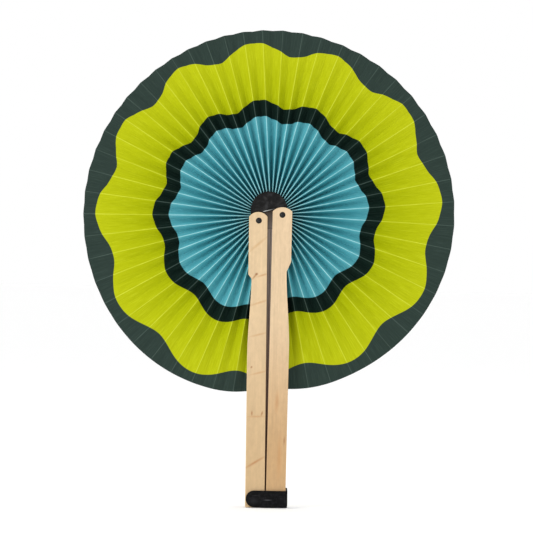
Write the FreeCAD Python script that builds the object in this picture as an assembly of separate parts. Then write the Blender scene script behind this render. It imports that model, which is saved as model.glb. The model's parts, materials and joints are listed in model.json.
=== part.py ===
import FreeCAD, Part
import math
import os

from FreeCAD import Vector

# Folding round fan, held upright: a pleated leaf all the way round a hub, and two sticks that form the handle.
# Millimetres. +Z is up, -Y faces the person looking at the front, and the origin is the middle of the grip.

LEFT = -1
RIGHT = 1
SIDE_NAMES = {LEFT: "left", RIGHT: "right"}

# Sticks, each a front plate, a core and a rear plate. The two were cut by hand and differ a little
pivot_height = 148.0
rivet_spacing = 15.8
hub_tilt_deg = 14.6
stick_lean_deg = 0.27
plate_thickness = 3.0
head_width = 12.7
head_rise = {LEFT: 5.6, RIGHT: 4.95}
shoulder_rise = {LEFT: 2.5, RIGHT: 2.3}
slit_taper = {LEFT: 0.75, RIGHT: 0.0}
stick_reach = 186.8
notch_start = {LEFT: 35.1, RIGHT: 30.6}
notch_end = {LEFT: 38.0, RIGHT: 36.8}
notch_depth = {LEFT: 2.15, RIGHT: 2.75}
flare_end = 86.0
flare_ease_share = 0.3
foot_radius = 0.8
core_strip_width = 3.5
core_inset = 0.3
core_ledge = 1.8
slit_gap = 0.2
lap_width = 0.7
lap_clearance = 0.1
block_clearance = 2.75

# Hub, two discs on the rivets with sleeves between them
hub_rise = 4.4
disc_radius = 12.0
disc_rise = 0.9
disc_thickness = 1.0
slot_width = 8.2
slot_end_rise = 0.4
hub_clearance = 0.4
sleeve_radius = 1.6
spacer_width = 6.4
spacer_rise = 1.0
spacer_drop = 11.3
spacer_head_width = 9.2
spacer_head_drop = 3.7
running_clearance = 0.05

# Rivets, domed at the front and clinched over a burr at the back
shank_radius = 1.0
rivet_head_radius = 1.95
rivet_head_height = 1.0
burr_radius = 2.1
burr_thickness = 0.6
burr_recess = 0.1
seat_clearance = 0.03

# Leaf, one pleated sheet cut into gores at every second valley fold
leaf_radius = 120.3
leaf_sag_x = -0.4
leaf_sag_z = -1.5
rim_waves = {2: 1.4, 3: 0.8, 4: 0.42, 5: 0.27}
rim_wave_place_shares = {2: 0.075, 3: 0.047, 4: 0.036, 5: 0.034}
rim_tuck = {LEFT: 3.6, RIGHT: 4.2}
rim_tuck_share = 0.05
pleat_count = 52
pleats_per_gore = 2
rim_crowding_deg = (5.6, 0.78)
rim_crowding_place_shares = (0.423, 0.43)
hub_crowding_deg = (-23.2,)
hub_crowding_place_shares = (0.489,)
left_pull_deg = 112.0
left_pull_fade = 10
hub_fold_depth = 3.9
rim_fold_depth = 0.7
sheet_thickness = 0.25
crease_depth_limit = 1.0
gore_gap = 0.06
leaf_hub_gap = 0.5
leaf_face_gap = 0.15
station_shares = (0.0, 0.25, 0.5, 0.75, 1.0)
flap_thickness = 0.3
flap_gap = 0.12
flap_top = 16.0
flap_rim_gap = 6.0
flap_width_share = 0.9

# Strap of hook-and-loop tape round the foot of the right stick
strap_width = 10.9
strap_thickness = 1.2
strap_inset = 0.15
strap_tip_inset = 0.4
strap_slant = 1.5
strap_gap = 0.1
patch_thickness = 0.6
patch_length = 9.0
patch_margin = 0.8
wrap_rear_length = 11.5
tack_head_radius = 1.5
tack_head_height = 0.6
tack_pin_radius = 0.6
tack_pin_length = 2.2
tack_place_shares = (0.25, 0.65)

overrun = 1.0

UP = Vector(0, 0, 1)
BACK = Vector(0, 1, 0)
ACROSS = Vector(1, 0, 0)
ORIGIN = Vector(0, 0, 0)

os.makedirs("parts", exist_ok=True)


def save(name, shape):
    shape.exportStep("parts/" + name + ".step")


def polygon_face(points):
    return Part.Face(Part.makePolygon(list(points) + [points[0]]))


def rod(radius, start_y, end_y, x, z):
    """A cylinder along Y between two depths."""
    return Part.makeCylinder(radius, end_y - start_y, Vector(x, start_y, z), BACK)


# Places that several pieces share
tilt = math.radians(hub_tilt_deg)
lean = math.radians(stick_lean_deg)
half_head = head_width / 2
rivet_half_x = rivet_spacing / 2 * math.cos(tilt)
rivet_half_z = rivet_spacing / 2 * math.sin(tilt)
hub_x = -hub_rise * math.sin(tilt)
hub_z = pivot_height + hub_rise * math.cos(tilt)
disc_z = hub_z + disc_rise
leaf_x = hub_x + leaf_sag_x
leaf_z = hub_z + leaf_sag_z
leaf_inner_radius = math.hypot(rivet_spacing / 2, hub_rise) + sleeve_radius + leaf_hub_gap
core_face = core_strip_width - half_head
block_start = pivot_height + rivet_half_z - leaf_z + leaf_radius + block_clearance
flap_bottom = leaf_radius - flap_rim_gap


def rivet_place(side):
    return side * rivet_half_x, pivot_height + side * rivet_half_z


def stick_to_fan(shape, side):
    """Moves a piece drawn for the right stick, with its rivet at the origin, to its place on either stick."""
    x, z = rivet_place(side)
    placed = shape if side == RIGHT else shape.mirror(ORIGIN, ACROSS)
    placed.rotate(ORIGIN, BACK, side * stick_lean_deg)
    placed.translate(Vector(x, 0, z))
    return placed


def stick_point_x(outward, up):
    """How far from the fan's middle plane a point of a stick lies."""
    return rivet_half_x + outward * math.cos(lean) + up * math.sin(lean)


# Fold lines of the leaf, from the hub to the rim
line_count = 2 * pleat_count
flap_face_top = stick_point_x(core_face, -flap_top) + flap_thickness + flap_gap
flap_face_low = stick_point_x(core_face, -flap_bottom) + flap_thickness + flap_gap


def end_angles(centre_x, left_radius, right_radius, end_x):
    """Clockwise angles from straight up at which a ring comes down to the two leaf flaps."""
    left = -math.pi - math.asin((-end_x - centre_x) / left_radius)
    right = math.pi - math.asin((end_x - centre_x) / right_radius)
    return left, right


def rim_reach(share):
    """How far the rim lies from the leaf's middle, which differs a little as the pleats slide on each other. The ends
    are tucked in where they are glued down."""
    reach = leaf_radius
    for waves, height in rim_waves.items():
        reach += height * math.sin(2 * math.pi * waves * (share - rim_wave_place_shares[waves]))
    left_tuck = rim_tuck[LEFT] * max(0, 1 - share / rim_tuck_share) ** 2
    right_tuck = rim_tuck[RIGHT] * max(0, 1 - (1 - share) / rim_tuck_share) ** 2
    return reach - left_tuck - right_tuck


inner_ends = end_angles(hub_x, leaf_inner_radius, leaf_inner_radius, flap_face_top)
rim_ends = end_angles(leaf_x, rim_reach(0), rim_reach(1), flap_face_low)


def crowding(share, degrees, places):
    """How far a fold line turns back where the pleats crowd together, once round the leaf for the first value, twice
    for the second, with both ends kept."""
    turned = 0
    for number, (swing, place) in enumerate(zip(degrees, places)):
        turn = 2 * math.pi * (number + 1)
        turned += math.radians(swing) * (math.sin(turn * (share - place)) + math.sin(turn * place))
    return turned


def left_pull(share):
    """How far a fold line is drawn to the left stick, where the first pleats are narrow."""
    return math.radians(left_pull_deg) * share * (1 - share) ** left_pull_fade


def fold_ends(line):
    """Where a fold line starts at the hub and stops at the rim, as two (x, z) points."""
    share = line / line_count
    hub_crowd = crowding(share, hub_crowding_deg, hub_crowding_place_shares)
    rim_crowd = crowding(share, rim_crowding_deg, rim_crowding_place_shares)
    inner = inner_ends[0] + (inner_ends[1] - inner_ends[0]) * share - hub_crowd
    rim = rim_ends[0] + (rim_ends[1] - rim_ends[0]) * share - rim_crowd - left_pull(share)
    start = (hub_x + leaf_inner_radius * math.sin(inner), hub_z + leaf_inner_radius * math.cos(inner))
    reach = rim_reach(share)
    stop = (leaf_x + reach * math.sin(rim), leaf_z + reach * math.cos(rim))
    return start, stop


def fold_place(line, share):
    start, stop = fold_ends(line)
    return tuple(a + (b - a) * share for a, b in zip(start, stop))


def fold_spacing(line, share):
    """The distance from one fold line to the next, at a share of the way to the rim."""
    before = max(line - 1, 0)
    after = min(line + 1, line_count)
    return math.dist(fold_place(before, share), fold_place(after, share)) / (after - before)


def fold_depth(share):
    """Half the depth of the pleats, which are deep at the hub and lie nearly flat at the rim."""
    eased_share = share * share * (3 - 2 * share)
    return hub_fold_depth + (rim_fold_depth - hub_fold_depth) * eased_share


disc_inner = hub_fold_depth + crease_depth_limit / 2 + leaf_face_gap
disc_outer = disc_inner + disc_thickness
core_half = disc_outer + running_clearance
stick_half = core_half + plate_thickness


# Sticks
def slit_x(up):
    """Where a piece that closes the slit ends, just short of the fan's middle plane."""
    return slit_gap / 2 - rivet_half_x - up * math.sin(lean)


def plate_outline(side, shoulder_x, foot_x):
    """The plate's outline between its inner edge at two heights, with its rivet at the origin."""
    waist = half_head - notch_depth[side]
    ease = (flare_end - notch_end[side]) * flare_ease_share
    corner = foot_radius * (1 - math.cos(math.pi / 4))
    shoulder_in = Vector(shoulder_x, 0, shoulder_rise[side])
    shoulder_out = Vector(half_head, 0, shoulder_rise[side])
    notch_top = Vector(half_head, 0, -notch_start[side])
    notch_low = Vector(waist, 0, -notch_end[side])
    flare_low = Vector(half_head, 0, -flare_end)
    foot_out = Vector(half_head, 0, foot_radius - stick_reach)
    foot_in = Vector(foot_x, 0, foot_radius - stick_reach)
    flare = Part.BezierCurve()
    flare.setPoles([notch_low, notch_low - UP * ease, flare_low + UP * ease, flare_low])
    foot_out_low = foot_out + Vector(-foot_radius, 0, -foot_radius)
    foot_in_low = foot_in + Vector(foot_radius, 0, -foot_radius)
    foot_out_mid = Vector(half_head - corner, 0, corner - stick_reach)
    foot_in_mid = Vector(foot_x + corner, 0, corner - stick_reach)
    curves = [
        Part.Arc(shoulder_in, Vector(0, 0, head_rise[side]), shoulder_out),
        Part.LineSegment(shoulder_out, notch_top),
        Part.LineSegment(notch_top, notch_low),
        flare,
        Part.LineSegment(flare_low, foot_out),
        Part.Arc(foot_out, foot_out_mid, foot_out_low),
        Part.LineSegment(foot_out_low, foot_in_low),
        Part.Arc(foot_in_low, foot_in_mid, foot_in),
        Part.LineSegment(foot_in, shoulder_in),
    ]
    return Part.Face(Part.Wire([curve.toShape() for curve in curves]))


def front_plate(side):
    outline = plate_outline(side, slit_taper[side] - half_head, -half_head)
    plate = outline.extrude(BACK * plate_thickness)
    plate.translate(BACK * -stick_half)
    hole = rod(shank_radius + seat_clearance, -stick_half - overrun, overrun, 0, 0)
    return stick_to_fan(plate.cut(hole), side)


def rear_plate(side):
    """The rear plates are wider than the front ones and close the slit from behind."""
    outline = plate_outline(side, slit_x(shoulder_rise[side]), slit_x(foot_radius - stick_reach))
    plate = outline.extrude(BACK * plate_thickness)
    plate.translate(BACK * core_half)
    hole = rod(shank_radius + seat_clearance, 0, stick_half + overrun, 0, 0)
    recess_floor = stick_half - burr_recess - burr_thickness
    recess = rod(burr_radius + seat_clearance, recess_floor, stick_half + overrun, 0, 0)
    return stick_to_fan(plate.cut(hole).cut(recess), side)


def core(side):
    """The dark strip along the slit, which widens to a solid block between the plates at the grip. Its rear half laps
    past the middle on the right stick and is cut back on the left one."""
    reach_of_disc = rivet_spacing / 2 - core_face - hub_clearance
    clear_of_disc = math.sqrt(max(disc_radius**2 - reach_of_disc**2, 0))
    top_in = disc_z - disc_radius - hub_clearance - rivet_place(side)[1]
    top_out = -hub_rise - disc_rise - clear_of_disc
    foot = core_inset - stick_reach
    block_out = half_head - core_inset

    def half(start_y, end_y, lap):
        points = [
            Vector(slit_x(top_in) + lap, start_y, top_in),
            Vector(slit_x(top_in) + core_ledge, start_y, top_in),
            Vector(core_face, start_y, top_out),
            Vector(core_face, start_y, -block_start),
            Vector(block_out, start_y, -block_start),
            Vector(block_out, start_y, foot),
            Vector(slit_x(foot) + lap, start_y, foot),
        ]
        return polygon_face(points).extrude(BACK * (end_y - start_y))

    step_y = side * lap_clearance / 2
    front = half(-core_half, step_y, 0)
    rear = half(step_y, core_half, -side * lap_width)
    return stick_to_fan(front.fuse(rear).removeSplitter(), side)


def leaf_flap(side):
    """The end of the leaf, glued flat to the outer face of the core."""
    width = 2 * hub_fold_depth * flap_width_share
    corner = Vector(core_face, -width / 2, -flap_bottom)
    return stick_to_fan(Part.makeBox(flap_thickness, width, flap_bottom - flap_top, corner), side)


# Rivets
def rivet(side):
    shank = rod(shank_radius, -stick_half, stick_half - burr_recess, 0, 0)
    rim = Vector(rivet_head_radius, -stick_half, 0)
    crown = Vector(0, -stick_half - rivet_head_height, 0)
    dome_radius = (rivet_head_radius**2 + rivet_head_height**2) / (2 * rivet_head_height)
    half_turn = math.asin(rivet_head_radius / dome_radius) / 2
    middle_y = -stick_half - rivet_head_height + dome_radius * (1 - math.cos(half_turn))
    middle = Vector(dome_radius * math.sin(half_turn), middle_y, 0)
    foot = Vector(0, -stick_half, 0)
    curves = [Part.Arc(rim, middle, crown), Part.LineSegment(crown, foot), Part.LineSegment(foot, rim)]
    profile = Part.Face(Part.Wire([curve.toShape() for curve in curves]))
    dome = profile.revolve(ORIGIN, BACK, 360)
    return stick_to_fan(dome.fuse(shank).removeSplitter(), side)


def rivet_burr(side):
    start = stick_half - burr_recess - burr_thickness
    end = stick_half - burr_recess
    ring = rod(burr_radius, start, end, 0, 0)
    bore = rod(shank_radius + seat_clearance, start - overrun, end + overrun, 0, 0)
    return stick_to_fan(ring.cut(bore), side)


# Hub
def hub_disc(start_y):
    disc = rod(disc_radius, start_y, start_y + disc_thickness, hub_x, disc_z)
    for side in (LEFT, RIGHT):
        bore_radius = shank_radius + running_clearance
        end_y = start_y + disc_thickness + overrun
        disc = disc.cut(rod(bore_radius, start_y - overrun, end_y, *rivet_place(side)))
    return disc


def front_hub_disc():
    """The front disc is open below its middle, between the rivets."""
    corner = Vector(-slot_width / 2, -disc_outer - overrun, slot_end_rise - disc_radius - overrun)
    slot = Part.makeBox(slot_width, disc_thickness + 2 * overrun, disc_radius + overrun, corner)
    slot.rotate(ORIGIN, BACK, -hub_tilt_deg)
    slot.translate(Vector(hub_x, 0, hub_z))
    return hub_disc(-disc_outer).cut(slot)


def hub_spacer():
    """A block between the discs, seen through the front disc's slot, which its wider head closes."""
    stem_corner = Vector(hub_x - spacer_width / 2, -disc_inner, hub_z - spacer_drop)
    stem = Part.makeBox(spacer_width, 2 * disc_inner, spacer_drop + spacer_rise, stem_corner)
    head_corner = Vector(hub_x - spacer_head_width / 2, -disc_inner, hub_z - spacer_head_drop)
    head = Part.makeBox(spacer_head_width, 2 * disc_inner, spacer_head_drop + spacer_rise, head_corner)
    return stem.fuse(head).removeSplitter()


def sleeve(side):
    tube = rod(sleeve_radius, -disc_inner, disc_inner, *rivet_place(side))
    bore = rod(shank_radius + running_clearance, -core_half, core_half, *rivet_place(side))
    return tube.cut(bore)


# Leaf
def gore_corners(first_line, last_line):
    """The sheet's front and back corners, by fold line and then by station."""
    front = []
    back = []
    for line in range(first_line, last_line + 1):
        facing = 1 if line % 2 == 0 else -1
        start, stop = fold_ends(line)
        length = math.dist(start, stop)
        trim = gore_gap / 2 * ((line == first_line) - (line == last_line))
        aside = ((stop[1] - start[1]) / length * trim, (start[0] - stop[0]) / length * trim)
        front_line = []
        back_line = []
        for share in station_shares:
            x, z = fold_place(line, share)
            depth = fold_depth(share)
            spacing = fold_spacing(line, share)
            steep = sheet_thickness * math.hypot(spacing, 2 * depth) / spacing
            half_sheet = min(steep, crease_depth_limit) / 2
            front_line.append(Vector(x + aside[0], facing * depth - half_sheet, z + aside[1]))
            back_line.append(Vector(x + aside[0], facing * depth + half_sheet, z + aside[1]))
        front.append(front_line)
        back.append(back_line)
    return front, back


def gore(number):
    """One gore of the leaf as a closed solid of flat facets."""
    lines_per_gore = 2 * pleats_per_gore
    first_line = number * lines_per_gore
    front, back = gore_corners(first_line, first_line + lines_per_gore)
    faces = []
    for panel in range(lines_per_gore):
        for sheet in (front, back):
            for low in range(len(station_shares) - 1):
                a, b = sheet[panel][low], sheet[panel][low + 1]
                c, d = sheet[panel + 1][low + 1], sheet[panel + 1][low]
                faces.append(polygon_face([a, b, c]))
                faces.append(polygon_face([a, c, d]))
        for end in (0, -1):
            here, there = panel, panel + 1
            faces.append(polygon_face([front[here][end], front[there][end], back[there][end], back[here][end]]))
    for edge in (0, -1):
        faces.append(polygon_face(front[edge] + back[edge][::-1]))
    shell = Part.makeCompound(faces)
    shell.sewShape()
    solid = Part.makeSolid(shell.Shells[0])
    if solid.Volume < 0:
        solid.reverse()
    return solid


# Strap
strap_drop = rivet_half_z + stick_reach - strap_width / 2 - strap_inset
strap_z = pivot_height - strap_drop
stick_axis_x = stick_point_x(0, -strap_drop)
foot_edge = stick_axis_x + half_head
hinge_x = foot_edge + strap_gap + strap_thickness / 2
tongue_back = stick_half + patch_thickness + strap_gap
hinge_y = -tongue_back - strap_thickness / 2
wrap_middle_z = strap_z + strap_slant
tip_x = strap_tip_inset - foot_edge


def tape(tip_x, end_x, front_y, thickness, half):
    """A flat piece of tape with a round end to the left."""
    round_x = tip_x + half
    top = Vector(round_x, front_y, strap_z + half)
    tip = Vector(tip_x, front_y, strap_z)
    low = Vector(round_x, front_y, strap_z - half)
    low_end = Vector(end_x, front_y, strap_z - half)
    top_end = Vector(end_x, front_y, strap_z + half)
    curves = [
        Part.Arc(top, tip, low),
        Part.LineSegment(low, low_end),
        Part.LineSegment(low_end, top_end),
        Part.LineSegment(top_end, top),
    ]
    return Part.Face(Part.Wire([curve.toShape() for curve in curves])).extrude(BACK * thickness)


def strap_tongue():
    """The free end of the strap, from its fold at the right edge to its round tip on the left stick."""
    half = strap_width / 2
    flat = tape(tip_x, hinge_x, -tongue_back - strap_thickness, strap_thickness, half)
    fold = Part.makeCylinder(strap_thickness / 2, strap_width, Vector(hinge_x, hinge_y, strap_z - half), UP)
    return flat.fuse(fold).removeSplitter()


def tack_places():
    return [foot_edge - wrap_rear_length * share for share in tack_place_shares]


def strap_wrap():
    """The fixed end of the strap, which climbs round the outer edge of the right stick and runs along its back."""
    half = strap_width / 2
    low_z = wrap_middle_z - half
    side_x = foot_edge + strap_gap
    rear_y = stick_half + strap_gap
    front_y = -tongue_back + strap_gap
    climb = [
        Vector(side_x, front_y, strap_z - half),
        Vector(side_x, front_y, strap_z + half),
        Vector(side_x, rear_y, low_z + strap_width),
        Vector(side_x, rear_y + strap_thickness, low_z + strap_width),
        Vector(side_x, rear_y + strap_thickness, low_z),
        Vector(side_x, rear_y, low_z),
    ]
    edge = polygon_face(climb).extrude(ACROSS * strap_thickness)
    rear_corner = Vector(foot_edge - wrap_rear_length, rear_y, low_z)
    rear_span = wrap_rear_length + strap_gap + strap_thickness
    rear = Part.makeBox(rear_span, strap_thickness, strap_width, rear_corner)
    wrap = edge.fuse(rear).removeSplitter()
    for x in tack_places():
        pin_radius = tack_pin_radius + seat_clearance
        wrap = wrap.cut(rod(pin_radius, rear_y - overrun, rear_y + strap_thickness + overrun, x, wrap_middle_z))
    return wrap


def strap_tacks():
    seat_y = stick_half + strap_gap + strap_thickness
    tacks = []
    for x in tack_places():
        head = rod(tack_head_radius, seat_y, seat_y + tack_head_height, x, wrap_middle_z)
        crown = [edge for edge in head.Edges if edge.BoundBox.YMin > seat_y]
        head = head.makeFillet(tack_head_height / 2, crown)
        pin_end = seat_y - strap_thickness - strap_gap - tack_pin_length
        pin = rod(tack_pin_radius, pin_end, seat_y, x, wrap_middle_z)
        tacks.append(head.fuse(pin).removeSplitter())
    return Part.makeCompound(tacks)


def tack_holes():
    start = stick_half - tack_pin_length - seat_clearance
    radius = tack_pin_radius + seat_clearance
    return [rod(radius, start, stick_half + overrun, x, wrap_middle_z) for x in tack_places()]


def hook_patch():
    """The hook side of the tape, stuck to the left front plate under the strap's tip."""
    left_x = tip_x + patch_margin
    front_y = -stick_half - patch_thickness
    return tape(left_x, left_x + patch_length, front_y, patch_thickness, strap_width / 2 - patch_margin)


for side, side_name in SIDE_NAMES.items():
    save(side_name + "_front_plate", front_plate(side))
    rear = rear_plate(side)
    if side == RIGHT:
        for hole in tack_holes():
            rear = rear.cut(hole)
    save(side_name + "_rear_plate", rear)
    save(side_name + "_core", core(side))
    save(side_name + "_leaf_flap", leaf_flap(side))
    save(side_name + "_rivet", rivet(side))
    save(side_name + "_rivet_burr", rivet_burr(side))
    save(side_name + "_sleeve", sleeve(side))

save("front_hub_disc", front_hub_disc())
save("rear_hub_disc", hub_disc(disc_inner))
save("hub_spacer", hub_spacer())

for number in range(pleat_count // pleats_per_gore):
    save(f"leaf_gore_{number + 1:02d}", gore(number))

save("strap_tongue", strap_tongue())
save("strap_wrap", strap_wrap())
save("strap_tacks", strap_tacks())
save("hook_patch", hook_patch())
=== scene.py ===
"""Folding round fan: a printed paper leaf in pleats all the way round a hub, between two plywood sticks."""
import json
import math

import bmesh
import bpy
from mathutils import Euler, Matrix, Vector

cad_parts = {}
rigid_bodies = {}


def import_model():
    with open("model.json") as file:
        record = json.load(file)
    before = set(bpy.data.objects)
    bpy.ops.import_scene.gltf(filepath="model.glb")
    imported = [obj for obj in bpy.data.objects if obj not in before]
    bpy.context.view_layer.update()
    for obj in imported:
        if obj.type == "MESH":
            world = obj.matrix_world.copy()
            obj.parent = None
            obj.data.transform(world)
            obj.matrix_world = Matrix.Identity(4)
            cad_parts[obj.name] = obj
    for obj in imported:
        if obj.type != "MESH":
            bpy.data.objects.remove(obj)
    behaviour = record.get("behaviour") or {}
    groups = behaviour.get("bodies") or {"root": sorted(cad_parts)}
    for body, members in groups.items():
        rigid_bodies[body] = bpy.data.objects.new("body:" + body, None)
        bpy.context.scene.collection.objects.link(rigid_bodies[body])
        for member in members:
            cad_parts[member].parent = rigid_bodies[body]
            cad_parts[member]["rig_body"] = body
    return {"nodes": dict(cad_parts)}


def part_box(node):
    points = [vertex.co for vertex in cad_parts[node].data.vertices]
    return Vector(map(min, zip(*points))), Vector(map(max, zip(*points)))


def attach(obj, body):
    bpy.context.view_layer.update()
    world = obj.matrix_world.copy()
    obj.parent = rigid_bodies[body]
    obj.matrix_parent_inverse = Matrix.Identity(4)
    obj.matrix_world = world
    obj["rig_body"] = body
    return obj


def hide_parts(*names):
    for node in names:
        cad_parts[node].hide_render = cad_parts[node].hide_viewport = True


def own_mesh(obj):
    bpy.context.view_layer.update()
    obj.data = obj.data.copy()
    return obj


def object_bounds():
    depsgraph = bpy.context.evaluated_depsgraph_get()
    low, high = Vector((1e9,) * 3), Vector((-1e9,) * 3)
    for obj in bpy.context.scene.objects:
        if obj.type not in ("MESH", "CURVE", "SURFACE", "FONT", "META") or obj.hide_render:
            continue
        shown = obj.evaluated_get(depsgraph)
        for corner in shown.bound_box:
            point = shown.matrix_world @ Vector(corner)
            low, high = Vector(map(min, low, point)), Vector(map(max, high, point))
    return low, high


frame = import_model()
cad_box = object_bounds()

MM = 0.001
TURN = 2 * math.pi

# Sizes of the fan, as in its source
PIVOT_HEIGHT = 148.0 * MM
RIVET_SPACING = 15.8 * MM
HUB_TILT = math.radians(14.6)
HUB_RISE = 4.4 * MM
SLEEVE_RADIUS = 1.6 * MM
LEAF_HUB_GAP = 0.5 * MM
STICK_LEAN = math.radians(0.27)
CORE_FACE = -2.85 * MM
FLAP_STACK = 0.42 * MM
FLAP_TOP = 16.0 * MM
FLAP_BOTTOM = 114.3 * MM
PLATE_INNER_FACE = 5.6 * MM
PLATE_THICKNESS = 3.0 * MM
LEAF_RADIUS = 120.3 * MM
LEAF_SAG = Vector((-0.4, 0.0, -1.5)) * MM
PLEATS = 52
PLEATS_PER_GORE = 2
HUB_FOLD_DEPTH = 3.9 * MM
RIM_FOLD_DEPTH = 0.7 * MM
SHEET_THICKNESS = 0.25 * MM
CREASE_LIMIT = 1.0 * MM
LEFT_PULL = math.radians(112.0)
LEFT_PULL_FADE = 10.0
LEFT_RIM_TUCK = 3.6 * MM
RIGHT_RIM_TUCK = 4.2 * MM
RIM_TUCK_SHARE = 0.05

# Waves of the rim, by how often each goes round the leaf: its height, and its place as a share of a round
RIM_WAVES = {2: (1.4 * MM, 0.075), 3: (0.8 * MM, 0.047), 4: (0.42 * MM, 0.036), 5: (0.27 * MM, 0.034)}

# Where the folds crowd together on each ring of the leaf, by waves too: the swing, and its place
CROWDING = {
    "Hub": {1: (math.radians(-23.2), 0.489)},
    "Rim": {1: (math.radians(5.6), 0.423), 2: (math.radians(0.78), 0.43)},
}

# Sizes that follow from them
GORES = PLEATS // PLEATS_PER_GORE
LINES = 2 * PLEATS
LINES_PER_GORE = 2 * PLEATS_PER_GORE
RIVET_HALF_X = RIVET_SPACING / 2 * math.cos(HUB_TILT)
PIVOT_MIDDLE = Vector((0.0, 0.0, PIVOT_HEIGHT))
HUB_CENTRE = Vector((-HUB_RISE * math.sin(HUB_TILT), 0.0, PIVOT_HEIGHT + HUB_RISE * math.cos(HUB_TILT)))
LEAF_CENTRE = HUB_CENTRE + LEAF_SAG
LEAF_INNER_RADIUS = math.hypot(RIVET_SPACING / 2, HUB_RISE) + SLEEVE_RADIUS + LEAF_HUB_GAP

# Blender's names for the kinds of node used here most
ATTRIBUTE = "ShaderNodeAttribute"
COORDINATES = "ShaderNodeTexCoord"
MAPPING = "ShaderNodeMapping"
SEPARATE = "ShaderNodeSeparateXYZ"
COMBINE = "ShaderNodeCombineXYZ"
MATH = "ShaderNodeMath"
VECTOR_MATH = "ShaderNodeVectorMath"
VECTOR_ROTATE = "ShaderNodeVectorRotate"
MAP_RANGE = "ShaderNodeMapRange"
MIX = "ShaderNodeMix"
NOISE = "ShaderNodeTexNoise"
GRADIENT = "ShaderNodeTexGradient"
RAMP = "ShaderNodeValToRGB"
BUMP = "ShaderNodeBump"
SHADER = "ShaderNodeBsdfPrincipled"
OUTPUT = "ShaderNodeOutputMaterial"

# Nearly all of a noise lies between these values
NOISE_LOW = 0.25
NOISE_HIGH = 0.75


def linear(code):
    """An sRGB hex colour as linear red, green, blue and alpha."""
    shares = [int(code[place:place + 2], 16) / 255 for place in (1, 3, 5)]
    return [s / 12.92 if s <= 0.04045 else ((s + 0.055) / 1.055) ** 2.4 for s in shares] + [1.0]


def add(tree, kind, inputs=None, ramp=None, **settings):
    """Adds a node with its settings. An input is a value or another node's output, and a ramp is a row of
    (place, colour) stops. A Mix node takes its factor at 0, numbers at 2 and 3, vectors at 4 and 5 and
    colours at 6 and 7, and gives a number at 0, a vector at 1 and a colour at 2."""
    node = tree.nodes.new(kind)
    for name, value in settings.items():
        setattr(node, name, value)
    for name, value in (inputs or {}).items():
        if isinstance(value, bpy.types.NodeSocket):
            tree.links.new(value, node.inputs[name])
        else:
            node.inputs[name].default_value = value
    if ramp:
        stops = node.color_ramp.elements
        while len(stops) < len(ramp):
            stops.new(1.0)
        for stop, (place, code) in zip(stops, ramp):
            stop.position = place
            stop.color = linear(code)
    return node


def blank_material(name):
    """A material without nodes, and its tree."""
    material = bpy.data.materials.new(name)
    material.use_nodes = True
    material.node_tree.nodes.clear()
    return material, material.node_tree


# Finishes

def print_wave(tree, line):
    """The wave that the edges of all bands follow, flattened at its crests."""
    lines_per_wave = 8.9
    first_crest = -1.42
    crest_flatness = 0.068
    from_crest = add(tree, MATH, {0: line, 1: first_crest}, operation="SUBTRACT").outputs[0]
    turn = add(tree, MATH, {0: from_crest, 1: TURN / lines_per_wave}, operation="MULTIPLY").outputs[0]
    crest = add(tree, MATH, {0: turn}, operation="COSINE").outputs[0]
    square = add(tree, MATH, {0: crest, 1: crest}, operation="MULTIPLY").outputs[0]
    return add(tree, MATH, {0: square, 1: -2 * crest_flatness, 2: crest}, operation="MULTIPLY_ADD").outputs[0]


def printed_bands(tree, line, rim):
    """The colour of the print, and its colour where a fold has worn it."""
    wave = print_wave(tree, line)

    # The light inks are a little paler towards the rim
    paling_start = 95 * MM
    paling_full = 8 * MM
    outward = add(tree, MAP_RANGE, {"Value": rim, "From Min": paling_start, "From Max": paling_full}).outputs[0]
    rimward_paling = add(tree, MATH, {0: outward, 1: outward}, operation="MULTIPLY").outputs[0]

    # Slate at the rim, then three bands. The slate is the dark band's ink painted lighter: a painted sheen on
    # the flatter outer ring. Each band has its ink by the hub, by the rim and where a fold has worn it, then
    # how far from the rim it starts and how far its edge swings
    colour = linear("#2C3934")
    worn_colour = linear("#46554E")
    edge_blur = 0.16 * MM
    for hub_ink, rim_ink, worn_ink, start, swing in (
        ("#9BA500", "#ACB312", "#C4CC3C", 11.55 * MM, 4.33 * MM),
        ("#0D1D18", "#0D1D18", "#44544E", 47.45 * MM, 2.87 * MM),
        ("#459FAA", "#7EADB6", "#AEE0E4", 57.75 * MM, 2.35 * MM),
    ):
        inks = {0: rimward_paling, 6: linear(hub_ink), 7: linear(rim_ink)}
        ink = add(tree, MIX, inks, data_type="RGBA").outputs[2]
        edge = add(tree, MATH, {0: wave, 1: -swing, 2: start}, operation="MULTIPLY_ADD").outputs[0]
        inside = add(tree, MATH, {0: rim, 1: edge}, operation="SUBTRACT").outputs[0]
        blur = {"Value": inside, "From Min": -edge_blur, "From Max": edge_blur}
        mask = add(tree, MAP_RANGE, blur).outputs[0]
        colour = add(tree, MIX, {0: mask, 6: colour, 7: ink}, data_type="RGBA").outputs[2]
        worn = {0: mask, 6: worn_colour, 7: linear(worn_ink)}
        worn_colour = add(tree, MIX, worn, data_type="RGBA").outputs[2]
    return colour, worn_colour


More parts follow.
